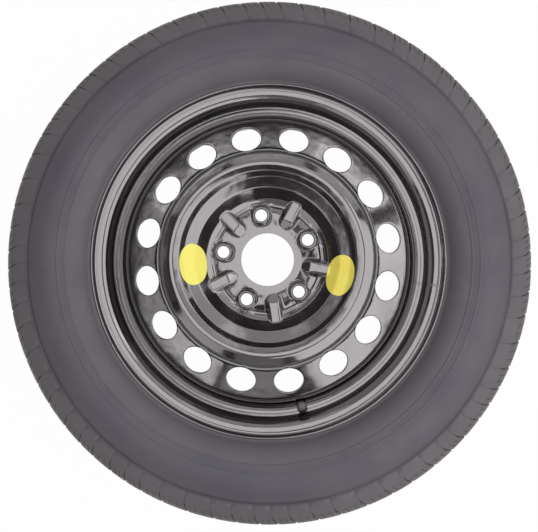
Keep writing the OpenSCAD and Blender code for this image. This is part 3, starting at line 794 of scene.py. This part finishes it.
def vent_rings(angle, edge, rows):
    """Rings from a vent patch's edge over its rounded lip and through the sheet to the back."""
    tilt_c, tilt_s = math.cos(CONE_TILT), math.sin(CONE_TILT)
    curve_r = VENT_R / tilt_s
    x, b = local_to(edge[:, 0], edge[:, 1], angle, VENT_R)
    a = (x + b * b / (2 * curve_r) * tilt_s) / tilt_c
    reach = np.hypot(a, b)
    inward = normals(rows)

    def ring(radius, depth, share=0.0):
        """A circle on the cone, sunk by a depth, or with a share the same share of the way to the edge."""
        scale = (radius * (1 - share) + reach * share) / reach
        p, q = a * scale, b * scale
        px = VENT_R + p * tilt_c - q * q / (2 * curve_r) * tilt_s
        r = np.hypot(px, q)
        theta = angle + np.arctan2(q, px)
        z = np.interp(r, rows[:, 0], rows[:, 1])
        nr = np.interp(r, rows[:, 0], inward[:, 0])
        nz = np.interp(r, rows[:, 0], inward[:, 1])
        r, z = r - nr * depth, z - nz * depth
        return np.stack([r * np.cos(theta), r * np.sin(theta), z], -1)

    def lip(turn):
        """How far the lip's round is past the hole and below the face after a turn in degrees."""
        t = math.radians(turn)
        return VENT_LIP * (1 - math.sin(t)), VENT_LIP * (1 - math.cos(t))

    back = float(sheet_t(VENT_R))
    out = [ring(VENT_HOLE + VENT_LIP, 0, share) for share in (0.75, 0.5, 0.28, 0.12, 0.0)]
    out += [ring(VENT_HOLE + past, down) for past, down in map(lip, (22.5, 45, 67.5, 90))]
    out += [ring(VENT_HOLE + past, back - down) for past, down in map(lip, (90, 60, 30, 0))]
    return out + [ring(VENT_HOLE + VENT_LIP, back, share) for share in (0.3, 0.65)]


wheel_disc()


# The rim: one rolled ring of steel sheet

RIM_T = 2.6
RIM_COLUMNS = 360
FLANGE_FACE = 44.45
SEAT_R = 202.8
SEAT_W = 13
SEAT_TAPER = math.tan(math.radians(5))
SEAT_ROUND = 2
FLANGE_H = 19.0
CURL_ROUND = 3.9
HEEL_ROUND = 15.0
LIP_R = SEAT_R + FLANGE_H - RIM_T
LIP_H = 10.2            # from the flange's face
LIP_Z = FLANGE_FACE + LIP_H
LIP_BULGE = 0.42        # of the sheet's thickness
LIP_SHORT = 0.9         # the lip's round edge begins this much lower
LIP_TURNS = [30, 60, 90, 120, 150]
RIM_STEP = 4.0
SEAT_END_Z = FLANGE_FACE - SEAT_W
SEAT_END_R = SEAT_R - RIM_T - SEAT_W * SEAT_TAPER
WELL_DEPTH = 17.3
WELL_R = SEAT_R - WELL_DEPTH - RIM_T
WELL_ROUND = 10
LEDGE_TILT = math.radians(18)
WELL_Z = SEAT_END_Z - (SEAT_END_R - WELL_R) * math.tan(LEDGE_TILT)


def rim_path():
    """The rim's side towards the axis, from the outboard lip to the inboard one."""
    half = [
        (LIP_R, LIP_Z, 0),
        (LIP_R, FLANGE_FACE + RIM_T, CURL_ROUND),
        (SEAT_R - RIM_T, FLANGE_FACE + RIM_T, HEEL_ROUND),
        (SEAT_END_R, SEAT_END_Z, SEAT_ROUND),
        (WELL_R, WELL_Z, WELL_ROUND)]
    return clean(rounded(half + [(r, -z, f) for r, z, f in half[::-1]], step=5))


def rim_ring():
    inner = spaced(rim_path(), RIM_STEP)
    outer = inner + normals(inner) * RIM_T
    lips = []
    for a, b in ((inner[-1], outer[-1]), (outer[0], inner[0])):
        middle, arm = (a + b) / 2, (a - b) / 2
        bulge = np.array([0, np.sign(middle[1])]) * RIM_T * LIP_BULGE
        lips.append(np.array([middle + arm * math.cos(t) + bulge * math.sin(t)
                              for t in np.radians(LIP_TURNS)]))
    for side in (inner, outer):
        side[0, 1] -= LIP_SHORT
        side[-1, 1] += LIP_SHORT
    lips[0][:, 1] += LIP_SHORT
    lips[1][:, 1] -= LIP_SHORT
    loop = np.vstack([inner, lips[0], outer[::-1], lips[1]])
    loop[:, 1] -= OFFSET
    angles = np.radians(VALVE_ANGLE + np.arange(RIM_COLUMNS) * 360 / RIM_COLUMNS)
    skin = Skin()
    index = skin.add(around(loop, angles))
    skin.rows(np.vstack([index, index[:1]]))
    skin.build("rim_ring", "rim_paint", "rim")


rim_ring()


# The tyre

FIT = 0.05              # gap between the tyre and the rim
CROWN_R = 333.5
EDGE_R = 331.5
HALF_W = 69.5
TREAD_HALF = 49.0
TREAD_ROUND = 20
BEAD_W = 12.5
BEAD_TOE = np.array([SEAT_R + FIT - BEAD_W * SEAT_TAPER, FLANGE_FACE - BEAD_W])
CUSHION_R = SEAT_R + FLANGE_H + FIT
CUSHION_Z = FLANGE_FACE + CURL_ROUND + RIM_T + 1.7
SECTION_H = CROWN_R - CUSHION_R
WIDE_SHARE = 0.403      # of the section's height, where the tyre is widest
WIDE_R = CROWN_R - (1 - WIDE_SHARE) * SECTION_H
WIDE = np.array([WIDE_R, HALF_W])

# Two low ridges run round the sidewall, at these shares of the section's height
RIDGE_SHARES = (0.333, 0.249)
RIDGES = [CROWN_R - (1 - share) * SECTION_H for share in RIDGE_SHARES]
RIDGE_H = 0.45
RIDGE_AT = np.array([-1.9, -1.2, -0.55, 0.55, 1.2, 1.9])
RIDGE_REACH = 2.2
RIDGE_SIDE = (0.5, 1.3)

# A moulded line parts the sidewall from the tread: the way of the wall there, and the way into the rubber
LINE = np.array([CROWN_R - 0.3 * SECTION_H, 58.0])
LINE_ALONG = unit(np.array([10, -5.5]))
LINE_IN = np.array([-0.48, -0.87])
LINE_REACH = 2.2

# The tread's grooves, slots and sipes. A block's length is in degrees.
GROOVE_DEPTH = 6.0
GROOVE_W = 6.5
GROOVE_IN = 12.0
GROOVE_OUT = 31.0
SLOT_W = 3.4
SLOT_LEAN = math.tan(math.radians(14))
SLOT_AIM_R = CROWN_R - 40
SLOT_AIM_Z = 34
SIPE_DEPTH = 2.4
SIPE_AT = (0.36, 0.68)  # of the block's length
BLOCK_PITCHES = [4, 4, 5, 5, 6, 6, 5, 6, 5, 4, 5, 4, 4, 5, 6, 6, 5, 5]
QUARTERS = 4
BLOCK_SHIFT = 2.5
SHIFT_HALF = 8          # the pattern turns by BLOCK_SHIFT degrees between this and minus this
SHOULDER_SWEEP = -0.9
SWEEP_FROM = 44
SLOT_GROWS = (EDGE_R - 17, EDGE_R - 1)
SIPE_GROWS = (EDGE_R - 13, EDGE_R - 6)
SLOT_DEPTHS = (0.07, 0.93)      # share of the depth where a slot begins, and what it gains
SLOT_WIDTHS = (0.22, 0.78)
LINE_SLOT_W = 0.4
CUT_FACE = 0.09         # degrees from the edge of a cut to the next column on the face
CUT_FLOOR = 0.08
BETWEEN_ROWS = (24.5, 21.5, 18.5)       # heights between the two grooves

# Kinds of columns of the tread
FLAT, SLOT_WALL, SLOT_FLOOR, SIPE = 0, 1, 2, 3

# One column of the side for so many of the tread, and one of the inside for so many of the side
SIDE_EVERY = 3
INSIDE_EVERY = 2


def at_line(along, deep):
    """Point by the moulded line: so far along the wall from it, and so deep in the rubber."""
    return LINE + LINE_ALONG * along + LINE_IN * deep


def side_path():
    """The tyre's side from the bead's toe to the bottom of the moulded line, in (radius, height)."""
    start = np.array([CUSHION_R + 3.4, CUSHION_Z + 1.0])
    bead = rounded([
        (*BEAD_TOE, 0),
        (SEAT_R + FIT, FLANGE_FACE - FIT, HEEL_ROUND - RIM_T),
        (CUSHION_R, FLANGE_FACE - FIT, CURL_ROUND + RIM_T + FIT),
        (CUSHION_R, CUSHION_Z, 0.6),
        (*start, 0)], step=12)
    # The handles of these two curves give the sidewall its bulge
    low = cubic(start, start + [9, 10], WIDE - [19, 0], WIDE, 26)
    high = cubic(WIDE, WIDE + [13, 0], LINE + [-10, 5.5], LINE, 16)
    wall = np.vstack([low, high[1:]])
    for r in RIDGES:
        extra = r + RIDGE_AT
        wall = wall[abs(wall[:, 0] - r) > RIDGE_REACH]
        wall = np.vstack([wall, np.stack([extra, np.interp(extra, low[:, 0], low[:, 1])], 1)])
        wall = wall[np.argsort(wall[:, 0])]
    lift = sum(RIDGE_H * (1 - smooth_step(*RIDGE_SIDE, abs(wall[:, 0] - r))) for r in RIDGES)
    wall = wall + normals(wall) * lift[:, None]
    wall = wall[wall[:, 0] < LINE[0] - LINE_REACH]
    groove = np.array([at_line(-1.9, 0.0), at_line(-1.5, 0.4), at_line(-1.0, 1.15)])
    return clean(np.vstack([bead[:-1], wall, groove]))


def shoulder_rows(path):
    """Rows of the tread's shoulder, where slots and sipes grow towards its edge."""
    rows = [(*at_line(along, deep), slot, 0, LINE_SLOT_W)
            for along, deep, slot in ((1.0, 1.15, 0), (1.5, 0.3, 0), (2.0, 0.0, 0.03))]
    shoulder = spaced(path, 3.6)
    shoulder = shoulder[(shoulder[:, 0] > LINE[0] + 3.5) & (shoulder[:, 1] > GROOVE_OUT + 4.6)]
    for r, z in shoulder:
        grown = float(smooth_step(*SLOT_GROWS, r))
        depth, width = [least + more * grown for least, more in (SLOT_DEPTHS, SLOT_WIDTHS)]
        rows.append((r, z, depth, float(smooth_step(*SIPE_GROWS, r)), width))
    return rows


def tread_rows():
    """Rows of the tread from the moulded line to the crown.
    Each row is (radius, height, share of the slot's depth, share of the sipe's, width of the slot)."""
    path = clean(rounded([(*LINE, 0), (EDGE_R, TREAD_HALF, TREAD_ROUND), (CROWN_R, 0, 0)], step=6))
    rows = shoulder_rows(path)
    lay = path[::-1]
    top = lambda z: float(np.interp(z, lay[:, 1], lay[:, 0]))
    half = GROOVE_W / 2
    for middle, slotted in ((GROOVE_OUT, 1.0), (GROOVE_IN, 0.0)):
        for dz, depth in ((half + 0.5, 0), (half, 0.5), (half - 0.6, GROOVE_DEPTH),
                          (-half + 0.6, GROOVE_DEPTH), (-half, 0.5), (-half - 0.5, 0)):
            outer = slotted if dz > 0 and depth < GROOVE_DEPTH else 0.0
            rows.append((top(middle + dz) - depth, middle + dz, outer, 0.0 if depth else 1.0, 1.0))
        if slotted:
            rows += [(top(z), z, 0, 1.0, 1.0) for z in BETWEEN_ROWS]
    rows.append((top(0), 0, 0, 0, 1.0))
    return rows


def block_columns():
    """Columns of the tread: angle of the block's slot, offset from it, and kind. Angles in degrees."""
    out = []
    start = 0.0
    for pitch in BLOCK_PITCHES * QUARTERS:
        h = math.degrees(SLOT_W / 2 / CROWN_R)
        slot = [(-h - CUT_FACE, FLAT), (-h, SLOT_WALL), (-h + CUT_FLOOR, SLOT_FLOOR),
                (h - CUT_FLOOR, SLOT_FLOOR), (h, SLOT_WALL), (h + CUT_FACE, FLAT)]
        out += [(start, offset, kind) for offset, kind in slot]
        for share in SIPE_AT:
            middle = pitch * share
            out += [(start, middle - CUT_FACE, FLAT), (start, middle, SIPE)]
            out.append((start, middle + CUT_FACE, FLAT))
        start += pitch
    return np.array(out)


def tread_twist(z, r):
    """How far a row of the tread is turned, in degrees, so that its columns follow the leaning slots."""
    lean = -abs(z) * SLOT_LEAN / r * 180 / math.pi
    sweep = SHOULDER_SWEEP * float(smooth_step(SWEEP_FROM, LINE[1], abs(z)))
    shift = float(smooth_step(SHIFT_HALF, -SHIFT_HALF, z)) if z < SHIFT_HALF else 0.0
    return lean + sweep + BLOCK_SHIFT * shift


def tread_points(columns):
    """Points of the tread from one moulded line over the crown to the other."""
    half = tread_rows()
    full = half + [(r, -z, a, b, w) for r, z, a, b, w in half[-2::-1]]
    kind = columns[:, 2]
    fixed = (kind == SIPE) | (abs(columns[:, 1]) > 0.6)     # only a slot's own columns draw together
    out = []
    for r, z, slot, sipe, width in full:
        narrow = np.where(fixed, 1.0, width)
        angle = np.radians(columns[:, 0] + columns[:, 1] * narrow + tread_twist(z, r))
        depth = np.zeros(len(columns))
        depth[kind == SLOT_WALL] = 0.5 * min(1.0, slot * 4)
        depth[kind == SLOT_FLOOR] = GROOVE_DEPTH * slot
        depth[kind == SIPE] = SIPE_DEPTH * sipe
        towards = unit(np.array([SLOT_AIM_R - r, -math.copysign(1, z) * max(0, abs(z) - SLOT_AIM_Z)]))
        rr, zz = r + towards[0] * depth, z + towards[1] * depth
        out.append(np.stack([rr * np.cos(angle), rr * np.sin(angle), zz - OFFSET], -1))
    return np.array(out)


def liner_path():
    """The tyre's side towards the air, from the bead to the crown."""
    bead, wide = BEAD_TOE + [17, 5], np.array([WIDE_R, HALF_W - 7])
    edge, crown = np.array([EDGE_R - 16, TREAD_HALF - 7]), np.array([CROWN_R - 12, 0])
    return np.vstack([
        [BEAD_TOE + [1.5, -0.6]],
        cubic(bead, bead + [10, 8], wide - [22, 0], wide, 5),
        cubic(wide, wide + [20, 0], edge + [-12, 14], edge, 5)[1:],
        cubic(edge, edge + [4, -12], crown + [0, 20], crown, 4)[1:]])


def tyre_moulding():
    columns = block_columns()
    skin = Skin()
    tread = skin.add(tread_points(columns))
    skin.rows(tread, flip=True)

    side = side_path()
    coarse = columns[::SIDE_EVERY]
    ends = []
    for sign, row, flip in ((1, tread[0], True), (-1, tread[-1], False)):
        twist = tread_twist(sign * LINE[1], LINE[0])
        steady = np.radians(coarse[:, 0] + coarse[:, 1] * LINE_SLOT_W + twist)
        path = side * [1, sign] - [0, OFFSET]
        index = skin.add(around(path[::-1], steady))
        skin.coarser(row, index[0], flip=flip)
        skin.rows(index, flip=not flip)
        ends.append((index[-1], steady[::INSIDE_EVERY]))

    liner = clean(liner_path())
    inside = np.vstack([liner, (liner * [1, -1])[::-1][1:]]) - [0, OFFSET]
    index = skin.add(around(inside, (ends[0][1] + ends[1][1]) / 2))
    skin.rows(index, flip=True)
    skin.coarser(ends[0][0], index[0])
    skin.coarser(ends[1][0], index[-1], flip=True)
    skin.build("tyre_moulding", "tyre_rubber", "tyre", crease=38)


tyre_moulding()


# Stickers

STICKER_L = 48.0
STICKER_W = 29.8
STICKER_R = 87.9        # from the axis to the middle
STICKER_POWER = 2.3     # a little fuller than an ellipse
STICKER_LIFT = 0.48     # off the wall, so that its facets stay below
STICKER_EDGE_LIFT = 0.036
STICKER_EDGE_SHARE = 1.004
STICKER_POINTS = 96
STICKER_RINGS = 22


def sticker(name, angle):
    """Oval film that follows the bowl's wall."""
    rows, _, _ = disc_rows()
    spin = math.radians(angle)
    turn = np.linspace(0, 2 * math.pi, STICKER_POINTS, endpoint=False)
    power = STICKER_POWER
    reach = (abs(np.cos(turn)) ** power + abs(np.sin(turn)) ** power) ** (-1 / power)
    rings = [(STICKER_LIFT, share) for share in np.linspace(0.0, 1.0, STICKER_RINGS)]
    rings.append((STICKER_EDGE_LIFT, STICKER_EDGE_SHARE))
    skin = Skin()
    last = None
    for lift, share in rings:
        r = STICKER_R + STICKER_W / 2 * reach * np.cos(turn) * share
        at = spin + STICKER_L / 2 * reach * np.sin(turn) * share / STICKER_R
        x, y = r * np.cos(at), r * np.sin(at)
        z = front_relief(x, y, np.interp(r, rows[:, 0], rows[:, 1]))
        ring = skin.add(np.stack([x, y, z + lift], -1))
        if last is not None:
            skin.band(last, ring)
        last = ring
    skin.build(name + "_film", "sticker_yellow", name, crease=60)


for sticker_name, sticker_angle in STICKERS.items():
    sticker(sticker_name, sticker_angle)


# Floor, light and camera

FLOOR_HALF = 6.0        # metres
FLOOR_GAP = 0.0004
FLOOR_GLOW = 0.98       # share of the floor's own white where the camera or the paint sees it


def floor():
    """Pale floor that shows white to the camera and in the paint."""
    low = cad_box[0].z - FLOOR_GAP
    half = FLOOR_HALF
    corners = [(-half, -half, low), (half, -half, low), (half, half, low), (-half, half, low)]
    mesh = bpy.data.meshes.new("floor")
    mesh.from_pydata(corners, [], [(0, 1, 2, 3)])
    look = Look("floor_paper", roughness=0.9)
    look.colour(look.mix(look.noise(3), (0.80, 0.80, 0.80), (0.84, 0.84, 0.84)))
    look.bump(look.noise(60), 0.1)
    glow = look.node("ShaderNodeEmission")
    glow.inputs["Color"].default_value = (1, 1, 1, 1)
    rays = look.node("ShaderNodeLightPath")
    seen = look.calc("MAXIMUM", rays.outputs["Is Camera Ray"], rays.outputs["Is Transmission Ray"])
    seen = look.calc("MAXIMUM", seen, rays.outputs["Is Glossy Ray"])
    mixed = look.node("ShaderNodeMixShader")
    look.link(look.calc("MULTIPLY", seen, FLOOR_GLOW), mixed.inputs[0])
    look.link(look.shader.outputs[0], mixed.inputs[1])
    look.link(glow.outputs[0], mixed.inputs[2])
    look.link(mixed.outputs[0], look.tree.nodes["Material Output"].inputs["Surface"])
    mesh.materials.append(look.material)
    plane = bpy.data.objects.new("floor", mesh)
    bpy.context.scene.collection.objects.link(plane)


# Soft lamps round the object: name, azimuth, then in degrees from straight up where it begins and ends,
# half its width in degrees, or None for a disc, and its radiance
LAMPS = [
    ("overhead", 160, -12, 30, None, 1.72),
    ("right", -25, 21, 64, 52, 1.75),
    ("right_low", -24, 64, 69, 53, 1.95),
    ("upper_right", 47, 21, 64, 20, 0.80),
    ("upper_right_low", 47, 64, 69, 20, 2.40),
    ("top", 90, 27, 64, 24, 0.65),
    ("top_low", 90, 64, 69, 24, 1.35),
    ("upper_left", 134, 30, 64, 20, 0.32),
    ("upper_left_low", 134, 64, 69, 20, 2.10),
    ("left", 180, 30, 64, 26, 0.05),
    ("left_low", 180, 64, 69, 26, 0.85),
    ("lower_left", 226, 30, 64, 19, 0.90),
    ("lower_left_low", 226, 64, 69, 19, 1.60),
    ("bottom", 264, 30, 64, 16, 0.30),
    ("bottom_low", 263, 64, 69, 15, 0.65)]
LAMP_TINT = (1.0, 0.945, 0.97)
LAMP_DISTANCE = 2.2     # metres

STUDIO_COLOUR = (0.9, 0.9, 1.0, 1)
STUDIO_STRENGTH = 0.03


def lamp(name, azimuth, low, high, half_width, radiance):
    """Soft lamp that faces the object: a rectangle, or a disc where it has no half width."""
    disc = half_width is None
    middle = math.radians((low + high) / 2)
    turn = math.radians(azimuth)
    way = Vector((math.sin(middle) * math.cos(turn), math.sin(middle) * math.sin(turn), math.cos(middle)))
    height = 2 * LAMP_DISTANCE * math.tan(math.radians((high - low) / 2))
    width = height if disc else 2 * LAMP_DISTANCE * math.sin(middle) * math.tan(math.radians(half_width))
    data = bpy.data.lights.new(name, "AREA")
    data.shape = "ELLIPSE" if disc else "RECTANGLE"
    data.size, data.size_y = width, height
    data.color = LAMP_TINT
    data.energy = radiance * math.pi * width * height * (math.pi / 4 if disc else 1)
    made = bpy.data.objects.new(name, data)
    made.location = way * LAMP_DISTANCE
    made.rotation_mode = "QUATERNION"
    made.rotation_quaternion = (-way).to_track_quat("-Z", "Y")
    made.visible_camera = False
    bpy.context.scene.collection.objects.link(made)


def light():
    """A dark studio that shows white to the camera only, and the lamps."""
    world = bpy.data.worlds.new("studio")
    bpy.context.scene.world = world
    world.use_nodes = True
    tree = world.node_tree
    back = tree.nodes["Background"]
    back.inputs["Color"].default_value = STUDIO_COLOUR
    back.inputs["Strength"].default_value = STUDIO_STRENGTH
    white = tree.nodes.new("ShaderNodeBackground")
    white.inputs["Strength"].default_value = 1.0
    rays = tree.nodes.new("ShaderNodeLightPath")
    mixed = tree.nodes.new("ShaderNodeMixShader")
    tree.links.new(rays.outputs["Is Camera Ray"], mixed.inputs[0])
    tree.links.new(back.outputs[0], mixed.inputs[1])
    tree.links.new(white.outputs[0], mixed.inputs[2])
    tree.links.new(mixed.outputs[0], tree.nodes["World Output"].inputs["Surface"])
    for values in LAMPS:
        lamp(*values)


# The camera as fitted to the wheel's circles in the photograph, in metres
CAMERA_AT = Vector((0.0125, -0.026, 0.7675))
CAMERA_AIM = Vector((0.00065, -0.00583, -0.0755))
CAMERA_LENS = 42.47
CAMERA_SENSOR = 36


def camera():
    data = bpy.data.cameras.new("camera")
    data.lens = CAMERA_LENS
    data.sensor_width = CAMERA_SENSOR
    data.clip_start, data.clip_end = 0.01, 50
    eye = bpy.data.objects.new("camera", data)
    bpy.context.scene.collection.objects.link(eye)
    eye.location = CAMERA_AT
    back = (CAMERA_AT - CAMERA_AIM).normalized()
    right = Vector((0, 1, 0)).cross(back).normalized()
    up = back.cross(right)
    turn = [[right[i], up[i], back[i]] for i in range(3)]
    eye.rotation_mode = "QUATERNION"
    eye.rotation_quaternion = Matrix(turn).to_quaternion()
    bpy.context.scene.camera = eye


floor()
light()
camera()
bpy.context.scene.view_settings.view_transform = "Standard"
